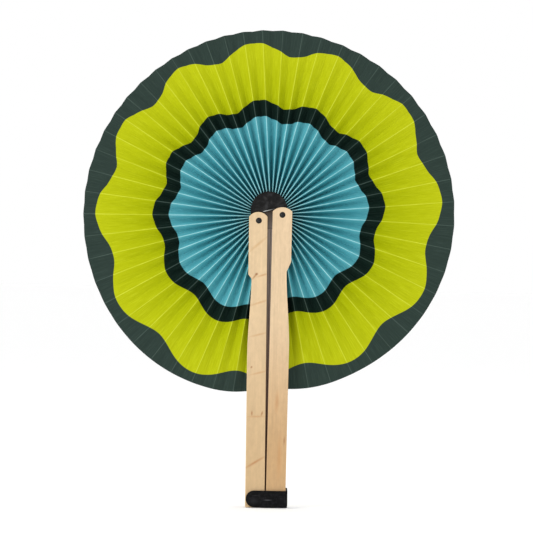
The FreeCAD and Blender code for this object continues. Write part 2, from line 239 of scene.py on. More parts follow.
def fold_wear(tree, line, rim, lie):
    """How worn the print is along the front folds: most along the middle of each, then fading to both sides.
    The wear is broken along the fold, but whole by the hub."""
    full_half = 0.12 * MM
    worn_half = 0.32 * MM
    spacing = add(tree, ATTRIBUTE, attribute_name="fold_spacing").outputs["Fac"]
    fold = add(tree, MATH, {0: line, 1: 1.0}, operation="PINGPONG").outputs[0]
    off_fold = add(tree, MATH, {0: 1.0, 1: fold}, operation="SUBTRACT").outputs[0]
    off_ridge = add(tree, MATH, {0: off_fold, 1: spacing}, operation="MULTIPLY").outputs[0]
    crease = add(
        tree, MAP_RANGE,
        {"Value": off_ridge, "From Min": full_half, "From Max": worn_half, "To Min": 1.0, "To Max": 0.0},
        interpolation_type="SMOOTHSTEP",
    ).outputs[0]
    patch_lines = 2.0
    patch_length = 9 * MM
    patch_scale = (1 / patch_lines, 1 / patch_length, 1.0)
    along = add(tree, VECTOR_MATH, {0: lie, 1: patch_scale}, operation="MULTIPLY").outputs[0]
    patches = add(tree, NOISE, {"Vector": along, "Scale": 1.0, "Detail": 3.0}).outputs[0]
    least_wear = 0.5
    broken = 80 * MM
    whole = 98 * MM
    by_hub = {"Value": rim, "From Min": broken, "From Max": whole, "To Min": least_wear, "To Max": 1.0}
    least = add(tree, MAP_RANGE, by_hub).outputs[0]
    weakest = 0.3
    strongest = 0.7
    patchy = {"Value": patches, "From Min": weakest, "From Max": strongest, "To Min": least, "To Max": 1.0}
    strength = add(tree, MAP_RANGE, patchy).outputs[0]
    return add(tree, MATH, {0: crease, 1: strength}, operation="MULTIPLY").outputs[0]


def printed_paper():
    """Uncoated card, printed in flat inks and creased by machine: matt, with the ink worn paler along the
    front folds, and broad bands whose edges wave once in about nine folds."""
    material, tree = blank_material("printed_uncoated_card")
    line = add(tree, ATTRIBUTE, attribute_name="fold_line").outputs["Fac"]
    rim = add(tree, ATTRIBUTE, attribute_name="rim_distance").outputs["Fac"]

    # At its left end the sheet was cut askew, so the print lies nearer the rim over the first folds
    askew_lines = 14.0
    askew_shift = 2.8 * MM
    askew = add(
        tree, MAP_RANGE, {"Value": line, "From Max": askew_lines, "To Min": askew_shift, "To Max": 0.0},
        interpolation_type="SMOOTHSTEP",
    ).outputs[0]
    rim = add(tree, MATH, {0: rim, 1: askew}, operation="ADD").outputs[0]
    colour, worn_colour = printed_bands(tree, line, rim)

    # Fibres and press streaks along the folds, of this width where a panel is as wide as the folds are deep
    fibre_width = 0.5 * MM
    fibre_length = 12 * MM
    fibre_scale = (2 * HUB_FOLD_DEPTH / fibre_width, 1 / fibre_length, 1.0)
    lie = add(tree, COMBINE, {"X": line, "Y": rim}).outputs[0]
    laid = add(tree, VECTOR_MATH, {0: lie, 1: fibre_scale}, operation="MULTIPLY").outputs[0]
    fibres = add(tree, NOISE, {"Vector": laid, "Scale": 1.0, "Detail": 4.0, "Roughness": 0.6}).outputs[0]
    darkest = 0.87
    lightest = 1.13
    shades = {
        "Value": fibres, "From Min": NOISE_LOW, "From Max": NOISE_HIGH, "To Min": darkest, "To Max": lightest
    }
    tone = add(tree, MAP_RANGE, shades).outputs[0]
    toned = add(
        tree, MIX, {0: 1.0, 6: colour, 7: tone}, data_type="RGBA", blend_type="MULTIPLY"
    ).outputs[2]

    # Handling has rubbed the raised fibres, and the folds more
    raised = 0.5
    most_rubbed = 0.25
    rubbed = add(
        tree, MAP_RANGE, {"Value": fibres, "From Min": raised, "From Max": NOISE_HIGH, "To Max": most_rubbed}
    ).outputs[0]
    toned = add(tree, MIX, {0: rubbed, 6: toned, 7: worn_colour}, data_type="RGBA").outputs[2]
    wear = fold_wear(tree, line, rim, lie)
    finished = add(tree, MIX, {0: wear, 6: toned, 7: worn_colour}, data_type="RGBA").outputs[2]
    bump = add(tree, BUMP, {"Strength": 0.15, "Distance": 0.05 * MM, "Height": fibres}).outputs[0]
    surface = add(
        tree, SHADER,
        {"Base Color": finished, "Roughness": 0.78, "Specular IOR Level": 0.03, "Normal": bump},
    )
    add(tree, OUTPUT, {"Surface": surface.outputs[0]})
    return material


def marked(tree, place, colour, middle, slant, halves, strength, code):
    """A colour with an elliptical mark on it, which fades out from the mark's middle."""
    spot = add(
        tree, MAPPING, {"Vector": place, "Location": middle, "Rotation": (0.0, -slant, 0.0), "Scale": halves},
        vector_type="TEXTURE",
    ).outputs[0]
    ball = add(tree, GRADIENT, {"Vector": spot}, gradient_type="SPHERICAL").outputs["Fac"]
    mask = add(tree, MATH, {0: ball, 1: strength}, operation="MULTIPLY").outputs[0]
    return add(tree, MIX, {0: mask, 6: colour, 7: linear(code)}, data_type="RGBA").outputs[2]


def cut_plies(tree, place):
    """The colour of a cut edge: three plies and two glue lines, counted from the plate's inner face."""
    axes = add(tree, SEPARATE, {0: place}).outputs
    depth = add(tree, MATH, {0: axes["Y"]}, operation="ABSOLUTE").outputs[0]
    outer_face = PLATE_INNER_FACE + PLATE_THICKNESS
    layer = add(
        tree, MAP_RANGE, {"Value": depth, "From Min": PLATE_INNER_FACE, "From Max": outer_face}
    ).outputs[0]
    return add(
        tree, RAMP, {"Fac": layer},
        ramp=((0.0, "#C99F68"), (0.30, "#D2A971"), (0.34, "#7A5330"), (0.38, "#A97A48"),
              (0.62, "#B08350"), (0.66, "#7A5330"), (0.70, "#D2A971"), (1.0, "#C99F68")),
    ).outputs[0]


def birch_ply(name, top_colour, low_colour, stripe, marks):
    """Sanded 3 mm birch ply, cut by laser: pale, silky and fine in the grain along the stick, with browned
    edges where the crossed middle ply and the glue lines show. Stripe is how strongly the grain shows, and
    marks are knots and slanting grain."""
    material, tree = blank_material(name)
    place = add(tree, COORDINATES).outputs["Object"]
    axes = add(tree, SEPARATE, {0: place}).outputs
    low_height = -10 * MM
    top_height = 100 * MM
    height = add(
        tree, MAP_RANGE, {"Value": axes["Z"], "From Min": low_height, "From Max": top_height},
        interpolation_type="SMOOTHSTEP",
    ).outputs[0]
    colours = {0: height, 6: linear(low_colour), 7: linear(top_colour)}
    tone = add(tree, MIX, colours, data_type="RGBA").outputs[2]

    # Blotches, growth bands and fine fibre, drawn out along the stick: the width, length and detail of each,
    # and how dark and how light it makes the wood
    for width, length, detail, darkest, lightest in (
        (2.4 * MM, 4.8 * MM, 4.0, 0.92, 1.06),
        (2.5 * MM, 60.0 * MM, 3.0, 1 - 0.12 * stripe, 1 + 0.08 * stripe),
        (0.6 * MM, 22.0 * MM, 5.0, 1 - 0.10 * stripe, 1 + 0.07 * stripe),
    ):
        scale = (1 / width, 1 / width, 1 / length)
        stretched = add(tree, VECTOR_MATH, {0: place, 1: scale}, operation="MULTIPLY").outputs[0]
        grain = add(
            tree, NOISE,
            {"Vector": stretched, "Scale": 1.0, "Detail": detail, "Roughness": 0.6, "Distortion": 0.4},
        ).outputs[0]
        shades = {
            "Value": grain, "From Min": NOISE_LOW, "From Max": NOISE_HIGH,
            "To Min": darkest, "To Max": lightest,
        }
        shade = add(tree, MAP_RANGE, shades).outputs[0]
        tone = add(
            tree, MIX, {0: 1.0, 6: tone, 7: shade}, data_type="RGBA", blend_type="MULTIPLY"
        ).outputs[2]
    any_depth = 1.0
    for x, z, slant, half_length, half_width, strength, code in marks:
        middle = (x * MM, 0.0, z * MM)
        halves = (half_length * MM, any_depth, half_width * MM)
        tone = marked(tree, place, tone, middle, math.radians(slant), halves, strength, code)

    # Faces look along Y and edges across it. The arrises between them carry a painted highlight, a cream line
    # for light caught on the eased edges
    normal = add(tree, "ShaderNodeNewGeometry").outputs["Normal"]
    facing = add(tree, SEPARATE, {0: normal}).outputs["Y"]
    flat = add(tree, MATH, {0: facing}, operation="ABSOLUTE").outputs[0]
    face_end = 0.98
    arris_top = 0.85
    highlight_share = 0.8
    edge_start = 0.45
    edge_whole = 0.2
    eased = add(
        tree, MAP_RANGE, {"Value": flat, "From Min": face_end, "From Max": arris_top, "To Max": highlight_share}
    ).outputs[0]
    tone = add(tree, MIX, {0: eased, 6: tone, 7: linear("#E8CCA0")}, data_type="RGBA").outputs[2]
    edge = add(tree, MAP_RANGE, {"Value": flat, "From Min": edge_start, "From Max": edge_whole}).outputs[0]
    plies = cut_plies(tree, place)
    finished = add(tree, MIX, {0: edge, 6: tone, 7: plies}, data_type="RGBA").outputs[2]
    bump = add(tree, BUMP, {"Strength": 0.25, "Distance": 0.04 * MM, "Height": grain}).outputs[0]
    rough = add(tree, MAP_RANGE, {"Value": grain, "To Min": 0.5, "To Max": 0.68}).outputs[0]
    surface = add(
        tree, SHADER,
        {"Base Color": finished, "Roughness": rough, "Specular IOR Level": 0.35, "Normal": bump},
    )
    add(tree, OUTPUT, {"Surface": surface.outputs[0]})
    return material


def mottled(name, colours, grit, roughness, specular, bump_height, metallic=0.0):
    """A finish whose colour, gloss and height vary with grit of one size."""
    material, tree = blank_material(name)
    place = add(tree, COORDINATES).outputs["Object"]
    grain = add(
        tree, NOISE, {"Vector": place, "Scale": 1 / grit, "Detail": 4.0, "Roughness": 0.55}
    ).outputs[0]
    low, high = colours
    colour = add(tree, RAMP, {"Fac": grain}, ramp=((0.3, low), (0.7, high))).outputs[0]
    swing = 0.08
    rough = add(
        tree, MAP_RANGE, {"Value": grain, "To Min": roughness - swing, "To Max": roughness + swing}
    ).outputs[0]
    bump = add(tree, BUMP, {"Strength": 0.3, "Distance": bump_height, "Height": grain}).outputs[0]
    surface = add(
        tree, SHADER, {
            "Base Color": colour,
            "Roughness": rough,
            "Metallic": metallic,
            "Specular IOR Level": specular,
            "Normal": bump,
        },
    )
    add(tree, OUTPUT, {"Surface": surface.outputs[0]})
    return material


def spine_with_painted_shadow():
    """Solid birch, stained and smoked by the laser: brown by the grip and greyer higher up, with a painted
    shadow at the top, cast by the front disc's slot end.
    """
    material, tree = blank_material("smoked_birch_spine")
    place = add(tree, COORDINATES).outputs["Object"]
    axes = add(tree, SEPARATE, {0: place}).outputs
    foot = -40 * MM
    head = 155 * MM
    height = add(tree, MAP_RANGE, {"Value": axes["Z"], "From Min": foot, "From Max": head}).outputs[0]
    # The two darkest stops at the top are a painted shadow, cast by the front disc's slot end
    base = add(
        tree, RAMP, {"Fac": height},
        ramp=((0.0, "#5E3F2E"), (0.45, "#77655A"), (0.8, "#857E79"), (0.93, "#867F7A"),
              (0.965, "#5C544D"), (0.985, "#352C26")),
    ).outputs[0]
    fibre_width = 0.6 * MM
    fibre_length = 15 * MM
    scale = (1 / fibre_width, 1 / fibre_width, 1 / fibre_length)
    stretched = add(tree, VECTOR_MATH, {0: place, 1: scale}, operation="MULTIPLY").outputs[0]
    grain = add(tree, NOISE, {"Vector": stretched, "Scale": 1.0, "Detail": 4.0}).outputs[0]
    darkest = 0.85
    lightest = 1.1
    shades = {
        "Value": grain, "From Min": NOISE_LOW, "From Max": NOISE_HIGH, "To Min": darkest, "To Max": lightest
    }
    shade = add(tree, MAP_RANGE, shades).outputs[0]
    colour = add(
        tree, MIX, {0: 1.0, 6: base, 7: shade}, data_type="RGBA", blend_type="MULTIPLY"
    ).outputs[2]
    bump = add(tree, BUMP, {"Strength": 0.3, "Distance": 0.05 * MM, "Height": grain}).outputs[0]
    surface = add(
        tree, SHADER, {"Base Color": colour, "Roughness": 0.75, "Specular IOR Level": 0.25, "Normal": bump}
    )
    add(tree, OUTPUT, {"Surface": surface.outputs[0]})
    return material


def woven_tape():
    """Nylon tape, woven and dyed black: matt, with fine ribs both ways, a little lint and a few scuffs."""
    material, tree = blank_material("woven_nylon_tape")
    cloth = add(tree, "ShaderNodeUVMap", uv_map="weave").outputs[0]
    rib_pitch = 0.55 * MM

    # The wave node takes this many radians for one unit of its scale
    wave_radians = 20
    rib_scale = TURN / (wave_radians * rib_pitch)
    threads = []
    for direction in ("X", "Y"):
        ribs = {"Vector": cloth, "Scale": rib_scale, "Distortion": 1.2, "Detail": 2.0}
        threads.append(add(tree, "ShaderNodeTexWave", ribs, bands_direction=direction).outputs["Fac"])
    weave = add(tree, MATH, {0: threads[0], 1: threads[1]}, operation="MULTIPLY").outputs[0]
    place = add(tree, COORDINATES).outputs["Object"]
    lint_size = 1.4 * MM
    lint = add(
        tree, NOISE, {"Vector": place, "Scale": 1 / lint_size, "Detail": 6.0, "Roughness": 0.7}
    ).outputs[0]
    colour = add(
        tree, RAMP, {"Fac": lint},
        ramp=((0.3, "#040404"), (0.48, "#0B0B0C"), (0.6, "#171719"), (0.72, "#303033")),
    ).outputs[0]

    # Scuffs on the front, a rubbed line and a rubbed tip: middle and half sizes in mm, strength and colour
    front = -10.5
    scuff_depth = 3.0
    for x, z, half_length, half_width, strength, code in (
        (1.6, -35.8, 3.4, 0.5, 0.8, "#56565A"),
        (-7.6, -36.4, 4.5, 3.0, 0.6, "#2C2C2F"),
        (-6.5, -33.0, 3.0, 0.5, 0.6, "#343437"),
    ):
        middle = (x * MM, front * MM, z * MM)
        halves = (half_length * MM, scuff_depth * MM, half_width * MM)
        colour = marked(tree, place, colour, middle, 0.0, halves, strength, code)
    height = add(tree, MATH, {0: weave, 1: lint}, operation="ADD").outputs[0]
    bump = add(tree, BUMP, {"Strength": 0.7, "Distance": 0.15 * MM, "Height": height}).outputs[0]
    surface = add(
        tree, SHADER, {
            "Base Color": colour,
            "Roughness": 0.85,
            "Specular IOR Level": 0.1,
            "Sheen Weight": 0.05,
            "Normal": bump,
        },
    )
    add(tree, OUTPUT, {"Surface": surface.outputs[0]})
    return material


def plastic_with_painted_highlight():
    """Moulded black plastic with a satin skin, with a painted highlight across the slot's end that stands for
    light caught on its edge.
    """
    material, tree = blank_material("scraped_black_ABS")
    place = add(tree, COORDINATES).outputs["Object"]
    cloud_size = 4 * MM
    grain = add(
        tree, NOISE, {"Vector": place, "Scale": 1 / cloud_size, "Detail": 6.0, "Roughness": 0.65}
    ).outputs[0]
    skin = add(
        tree, RAMP, {"Fac": grain}, ramp=((0.28, "#040404"), (0.5, "#121212"), (0.72, "#303031"))
    ).outputs[0]

    # The painted highlight lies across the slot's upper end and fades to its right
    past_centre = 0.6 * MM
    line_half = 0.18 * MM
    faded_half = 0.36 * MM
    reach = 5 * MM
    slot_end = HUB_CENTRE + past_centre * (HUB_CENTRE - PIVOT_MIDDLE).normalized()
    on_end = add(
        tree, MAPPING, {"Vector": place, "Location": slot_end, "Rotation": (0.0, -HUB_TILT, 0.0)},
        vector_type="TEXTURE",
    ).outputs[0]
    axes = add(tree, SEPARATE, {0: on_end}).outputs
    off_line = add(tree, MATH, {0: axes["Z"]}, operation="ABSOLUTE").outputs[0]
    thin = add(
        tree, MAP_RANGE,
        {"Value": off_line, "From Min": line_half, "From Max": faded_half, "To Min": 1.0, "To Max": 0.0},
    ).outputs[0]
    along = add(tree, MAP_RANGE, {"Value": axes["X"], "From Min": -reach, "From Max": reach}).outputs[0]
    fade = add(
        tree, RAMP, {"Fac": along},
        ramp=((0.08, "#000000"), (0.2, "#FFFFFF"), (0.45, "#D8D8D8"), (0.7, "#8C8C8C"), (0.92, "#000000")),
    ).outputs[0]
    edge_highlight = add(tree, MATH, {0: thin, 1: fade}, operation="MULTIPLY").outputs[0]
    colour = add(tree, MIX, {0: edge_highlight, 6: skin, 7: linear("#C2C8C4")}, data_type="RGBA").outputs[2]
    bump = add(tree, BUMP, {"Strength": 0.3, "Distance": 0.03 * MM, "Height": grain}).outputs[0]
    surface = add(
        tree, SHADER, {"Base Color": colour, "Roughness": 0.55, "Specular IOR Level": 0.12, "Normal": bump}
    )
    add(tree, OUTPUT, {"Surface": surface.outputs[0]})
    return material


# Marks on the sticks' faces: middle across and up in mm, slant in degrees, half length and half width in mm,
# strength and colour
LEFT_MARKS = (
    (-7.9, 130.5, 41, 9.5, 1.2, 0.48, "#B4864E"),
    (-8.5, 111.1, 20, 1.4, 1.1, 1.00, "#7A431C"),
    (-9.7, 109.6, 51, 3.8, 0.8, 0.85, "#9C6A36"),
    (-4.2, 110.6, 18, 5.5, 0.9, 0.65, "#B27B45"),
    (-6.2, 92.6, 19, 9.0, 1.0, 0.50, "#B27B45"),
    (-6.2, 71.8, 15, 8.5, 0.9, 0.45, "#B27B45"),
    (-10.6, 50.5, 60, 1.1, 0.8, 0.95, "#8C5527"),
    (-5.7, 46.9, 15, 8.0, 0.9, 0.50, "#B27B45"),
    (-9.8, 20.5, 88, 2.2, 0.8, 0.95, "#96602E"),
    (-3.2, 20.5, 72, 2.2, 0.8, 0.90, "#96602E"),
    (-7.0, 18.4, 2, 8.0, 0.9, 0.50, "#B27B45"),
    (-7.4, -11.6, 32, 10.0, 1.1, 0.85, "#A8713F"),
)
RIGHT_MARKS = (
    (11.6, 3.0, 88, 3.2, 0.6, 0.85, "#8C5A2E"),
    (6.4, 28.0, 88, 9.5, 1.8, 0.50, "#B27B45"),
    (8.6, -8.0, 89, 18.0, 2.0, 0.45, "#B27B45"),
)

PAPER = printed_paper()
LEFT_PLY = birch_ply("sanded_birch_ply_slant_grain", "#D1B690", "#C5A77E", 0.45, LEFT_MARKS)
RIGHT_PLY = birch_ply("sanded_birch_ply_straight_grain", "#D5BA96", "#BE9A6E", 0.75, RIGHT_MARKS)
REAR_PLY = birch_ply("sanded_birch_ply_plain_grain", "#D1B692", "#C4A67C", 1.0, ())
SPINE = spine_with_painted_shadow()
FRONT_HUB_BLACK = plastic_with_painted_highlight()
TAPE = woven_tape()

# Card printed in one ink: matt and even, with a faint grain
PLAIN_PAPER = mottled(
    "printed_slate_card", ("#2C3D37", "#3A4D45"), grit=0.6 * MM, roughness=0.75, specular=0.3,
    bump_height=0.02 * MM,
)

# Plastic moulded against a fine-blasted tool: a soft black sheen with a slight cloud
HUB_BLACK = mottled(
    "moulded_black_ABS", ("#0F0F0F", "#1E1E1F"), grit=1.6 * MM, roughness=0.55, specular=0.12,
    bump_height=0.03 * MM,
)

# Steel blackened in a hot bath: dark, with a small clear highlight on each domed head
BLACK_STEEL = mottled(
    "blackened_steel", ("#171512", "#2A2A2B"), grit=0.4 * MM, roughness=0.35, specular=0.5,
    bump_height=0.01 * MM, metallic=0.7,
)

# Nylon moulded into tiny hooks: black, with a fine broken sheen
HOOKS = mottled(
    "moulded_nylon_hooks", ("#101010", "#242424"), grit=0.3 * MM, roughness=0.45, specular=0.45,
    bump_height=0.05 * MM,
)


# Pieces

def stand_for(piece, node):
    """Puts a finished piece in the place of a CAD node, on the same body."""
    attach(piece, frame["nodes"][node]["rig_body"])
    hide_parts(node)


def dress(node, material):
    """Gives a CAD node a finish."""
    mesh = frame["nodes"][node].data
    mesh.materials.clear()
    mesh.materials.append(material)


def new_piece(name, form, material):
    """A linked object with the mesh of a bmesh, which is freed."""
    mesh = bpy.data.meshes.new(name)
    form.to_mesh(mesh)
    form.free()
    mesh.materials.append(material)
    piece = bpy.data.objects.new(name, mesh)
    bpy.context.scene.collection.objects.link(piece)
    return piece


def eased_copy(node, radius, material):
    """A copy of a CAD node with its sharp edges rounded over."""
    same_spot = 0.001 * MM
    same_plane = math.radians(0.5)
    shading_limit = math.radians(30)
    easing_limit = math.radians(40)
    form = bmesh.new()
    form.from_mesh(frame["nodes"][node].data)
    bmesh.ops.remove_doubles(form, verts=form.verts, dist=same_spot)
    bmesh.ops.dissolve_limit(form, angle_limit=same_plane, verts=form.verts, edges=form.edges)
    piece = new_piece(node + "_eased", form, material)
    piece.data.set_sharp_from_angle(angle=shading_limit)
    bevel = piece.modifiers.new("eased_edges", "BEVEL")
    bevel.width = radius
    bevel.segments = 2
    bevel.limit_method = "ANGLE"
    bevel.angle_limit = easing_limit
    bevel.harden_normals = True
    return piece


def sticks():
    """Plates with edges eased by sanding, and the smoked spines between them."""
    plate_ease = 0.4 * MM
    spine_ease = 0.15 * MM
    front_ply = {"left": LEFT_PLY, "right": RIGHT_PLY}
    for side, ply in front_ply.items():
        for plate, finish in ((side + "_front_plate", ply), (side + "_rear_plate", REAR_PLY)):
            stand_for(eased_copy(plate, plate_ease, finish), plate)
        spine = side + "_core"
        stand_for(eased_copy(spine, spine_ease, SPINE), spine)


def hub():
    """Two moulded discs with a smoked block between them, the block's top darkened by a painted shadow. The
    front disc carries a painted highlight where its slot ends.
    """
    ease = 0.2 * MM
    for node, finish in (("front_hub_disc", FRONT_HUB_BLACK), ("rear_hub_disc", HUB_BLACK)):
        stand_for(eased_copy(node, ease, finish), node)
    stand_for(eased_copy("hub_spacer", ease, SPINE), "hub_spacer")


def ring_ends(centre, left_radius, right_radius, drop):
    """The angle at which a ring of the leaf leaves the left stick, and the angle on to the right stick."""
    end_x = RIVET_HALF_X + CORE_FACE * math.cos(STICK_LEAN) - drop * math.sin(STICK_LEAN) + FLAP_STACK
    left = -math.pi - math.asin((-end_x - centre.x) / left_radius)
    right = math.pi - math.asin((end_x - centre.x) / right_radius)
    return left, right - left


def gore_sizes():
    """The inputs of the gore's tree, by name."""
    hub_start, hub_span = ring_ends(HUB_CENTRE, LEAF_INNER_RADIUS, LEAF_INNER_RADIUS, FLAP_TOP)
    end_radius = LEAF_RADIUS
    for waves, (height, place) in RIM_WAVES.items():
        end_radius += height * math.sin(-waves * TURN * place)
    rim_start, rim_span = ring_ends(
        LEAF_CENTRE, end_radius - LEFT_RIM_TUCK, end_radius - RIGHT_RIM_TUCK, FLAP_BOTTOM
    )
    sizes = {
        "First Line": 0.0,
        "Last Line": float(LINES_PER_GORE),
        "Line Count": float(LINES),
        "Hub Centre": HUB_CENTRE,
        "Hub Radius": LEAF_INNER_RADIUS,
        "Hub Start": hub_start,
        "Hub Span": hub_span,
        "Rim Centre": LEAF_CENTRE,
        "Rim Radius": LEAF_RADIUS,
        "Rim Start": rim_start,
        "Rim Span": rim_span,
        "Left Rim Tuck": LEFT_RIM_TUCK,
        "Right Rim Tuck": RIGHT_RIM_TUCK,
        "Left Pull": -LEFT_PULL,
        "Left Pull Fade": LEFT_PULL_FADE,
        "Hub Fold Rise": 2 * HUB_FOLD_DEPTH,
        "Rim Fold Rise": 2 * RIM_FOLD_DEPTH,
        "Sheet Thickness": SHEET_THICKNESS,
        "Crease Limit": CREASE_LIMIT,
        "Panel Bow": 0.9,
        "Valley Dip": 0.55 * MM,
        "Unevenness": 0.8,
    }
    for waves, (height, place) in RIM_WAVES.items():
        sizes[f"Rim Wave {waves}"] = height
        sizes[f"Rim Wave {waves} Phase"] = -waves * TURN * place
    for ring, crowding in CROWDING.items():
        for waves, (swing, place) in crowding.items():
            sizes[ring + " Start"] -= swing * math.sin(waves * TURN * place)
            sizes[f"{ring} Crowding {waves}"] = -swing
            sizes[f"{ring} Phase {waves}"] = -waves * TURN * place
    return sizes


def fold_share(tree, given, line):
    """How far along the leaf a fold lies, as a share, and how far from the nearer end. The folds wander a
    little, but not where the leaf is glued to the sticks."""
    even_share = add(tree, MATH, {0: line, 1: given["Line Count"]}, operation="DIVIDE").outputs[0]
    wander = add(tree, NOISE, {"W": line, "Scale": 0.45, "Detail": 1.0}, noise_dimensions="1D").outputs[0]
    sway = add(tree, MATH, {0: wander, 1: 0.5}, operation="SUBTRACT").outputs[0]
    free = add(tree, MATH, {0: even_share, 1: 0.5}, operation="PINGPONG").outputs[0]
    sway = add(tree, MATH, {0: sway, 1: free}, operation="MULTIPLY").outputs[0]
    uneven = add(tree, MATH, {0: given["Unevenness"], 1: given["Line Count"]}, operation="DIVIDE").outputs[0]
    share = add(tree, MATH, {0: sway, 1: uneven, 2: even_share}, operation="MULTIPLY_ADD").outputs[0]
    return share, free


def rim_reach(tree, given, fold, share, free):
    """The rim's radius at a fold. It sways as the pleats slide on each other, is less at the back folds of
    the free part of the leaf, and is tucked in at the glued ends."""
    glued = 0.12
    fully_free = 0.3
    behind = add(tree, MATH, {0: 1.0, 1: fold}, operation="SUBTRACT").outputs[0]
    loose = add(
        tree, MAP_RANGE,
        {"Value": free, "From Min": glued, "From Max": fully_free, "To Max": given["Valley Dip"]},
    ).outputs[0]
    dip = add(tree, MATH, {0: behind, 1: loose}, operation="MULTIPLY").outputs[0]
    radius = add(tree, MATH, {0: given["Rim Radius"], 1: dip}, operation="SUBTRACT").outputs[0]
    for waves in RIM_WAVES:
        turn = {0: share, 1: waves * TURN, 2: given[f"Rim Wave {waves} Phase"]}
        phase = add(tree, MATH, turn, operation="MULTIPLY_ADD").outputs[0]
        sine = add(tree, MATH, {0: phase}, operation="SINE").outputs[0]
        swayed = {0: sine, 1: given[f"Rim Wave {waves}"], 2: radius}
        radius = add(tree, MATH, swayed, operation="MULTIPLY_ADD").outputs[0]
    for tuck, end_share, inner_share in (
        ("Left Rim Tuck", 0.0, RIM_TUCK_SHARE),
        ("Right Rim Tuck", 1.0, 1.0 - RIM_TUCK_SHARE),
    ):
        to_end = {"Value": share, "From Min": inner_share, "From Max": end_share}
        near_end = add(tree, MAP_RANGE, to_end).outputs[0]
        square = add(tree, MATH, {0: near_end, 1: near_end}, operation="MULTIPLY").outputs[0]
        drawn_in = add(tree, MATH, {0: square, 1: given[tuck]}, operation="MULTIPLY").outputs[0]
        radius = add(tree, MATH, {0: radius, 1: drawn_in}, operation="SUBTRACT").outputs[0]
    return radius


def left_pull(tree, given, share):
    """How the first folds are drawn to the left stick, by share * (1 - share) ** fade, and its rate."""
    fade = given["Left Pull Fade"]
    left_over = add(tree, MATH, {0: 1.0, 1: share}, operation="SUBTRACT").outputs[0]
    faded = add(tree, MATH, {0: left_over, 1: fade}, operation="POWER").outputs[0]
    pull = add(tree, MATH, {0: share, 1: faded}, operation="MULTIPLY").outputs[0]
    falling = add(tree, MATH, {0: pull, 1: left_over}, operation="DIVIDE").outputs[0]
    fading = add(tree, MATH, {0: falling, 1: fade}, operation="MULTIPLY").outputs[0]
    rate = add(tree, MATH, {0: faded, 1: fading}, operation="SUBTRACT").outputs[0]
    return pull, rate


def ring_place(tree, given, ring, share, radius, pull=None):
    """Where a fold meets a ring of the leaf, and the stride along the ring to the next fold."""
    turn = {0: share, 1: given[ring + " Span"], 2: given[ring + " Start"]}
    angle = add(tree, MATH, turn, operation="MULTIPLY_ADD").outputs[0]
    rate = given[ring + " Span"]
    for waves in CROWDING[ring]:
        crowding = given[f"{ring} Crowding {waves}"]
        turn = {0: share, 1: waves * TURN, 2: given[f"{ring} Phase {waves}"]}
        phase = add(tree, MATH, turn, operation="MULTIPLY_ADD").outputs[0]
        sine = add(tree, MATH, {0: phase}, operation="SINE").outputs[0]
        cosine = add(tree, MATH, {0: phase}, operation="COSINE").outputs[0]
        angle = add(tree, MATH, {0: sine, 1: crowding, 2: angle}, operation="MULTIPLY_ADD").outputs[0]
        swing = add(tree, MATH, {0: crowding, 1: waves * TURN}, operation="MULTIPLY").outputs[0]
        rate = add(tree, MATH, {0: cosine, 1: swing, 2: rate}, operation="MULTIPLY_ADD").outputs[0]
    if pull:
        drawn, drawn_rate = pull
        strength = given["Left Pull"]
        angle = add(tree, MATH, {0: drawn, 1: strength, 2: angle}, operation="MULTIPLY_ADD").outputs[0]
        rate = add(tree, MATH, {0: drawn_rate, 1: strength, 2: rate}, operation="MULTIPLY_ADD").outputs[0]
    line_rate = add(tree, MATH, {0: rate, 1: given["Line Count"]}, operation="DIVIDE").outputs[0]
    step = add(tree, MATH, {0: line_rate, 1: radius}, operation="MULTIPLY").outputs[0]
    arm = add(tree, COMBINE, {"Z": radius}).outputs[0]
    turned = add(tree, VECTOR_ROTATE, {"Vector": arm, "Angle": angle}, rotation_type="Y_AXIS").outputs[0]
    spot = add(tree, VECTOR_MATH, {0: turned, 1: given[ring + " Centre"]}, operation="ADD").outputs[0]
    aside = add(tree, COMBINE, {"X": step}).outputs[0]
    stride = add(tree, VECTOR_ROTATE, {"Vector": aside, "Angle": angle}, rotation_type="Y_AXIS").outputs[0]
    return spot, stride


def fold_lift(tree, given, fold, reach, spacing, through_sheet):
    """How far a point of the sheet lies from the leaf's middle plane, along Y. The pleats are deep at the hub
    and lie nearly flat at the rim, and their panels are bowed near the hub."""
    depths = {"Value": reach, "To Min": given["Hub Fold Rise"], "To Max": given["Rim Fold Rise"]}
    rise = add(tree, MAP_RANGE, depths, interpolation_type="SMOOTHSTEP").outputs[0]
    sides = {"Value": fold, "To Min": 0.5, "To Max": -0.5}
    straight = add(tree, MAP_RANGE, sides).outputs[0]
    bowed = add(tree, MAP_RANGE, sides, interpolation_type="SMOOTHSTEP").outputs[0]
    bow = add(tree, MAP_RANGE, {"Value": reach, "To Min": given["Panel Bow"], "To Max": 0.0}).outputs[0]
    side = add(tree, MIX, {0: bow, 2: straight, 3: bowed}).outputs[0]

    # A steep panel is cut through at a slant, so the sheet is thicker along Y, up to a limit at the folds
    gap = add(tree, COMBINE, {"X": spacing, "Y": rise}).outputs[0]
    panel = add(tree, VECTOR_MATH, {0: gap}, operation="LENGTH").outputs["Value"]
    slope = add(tree, MATH, {0: panel, 1: spacing}, operation="DIVIDE").outputs[0]
    steep = add(tree, MATH, {0: slope, 1: given["Sheet Thickness"]}, operation="MULTIPLY").outputs[0]
    thickness = add(tree, MATH, {0: steep, 1: given["Crease Limit"]}, operation="MINIMUM").outputs[0]
    sheet = add(tree, MATH, {0: thickness, 1: through_sheet}, operation="MULTIPLY").outputs[0]
    return add(tree, MATH, {0: rise, 1: side, 2: sheet}, operation="MULTIPLY_ADD").outputs[0]


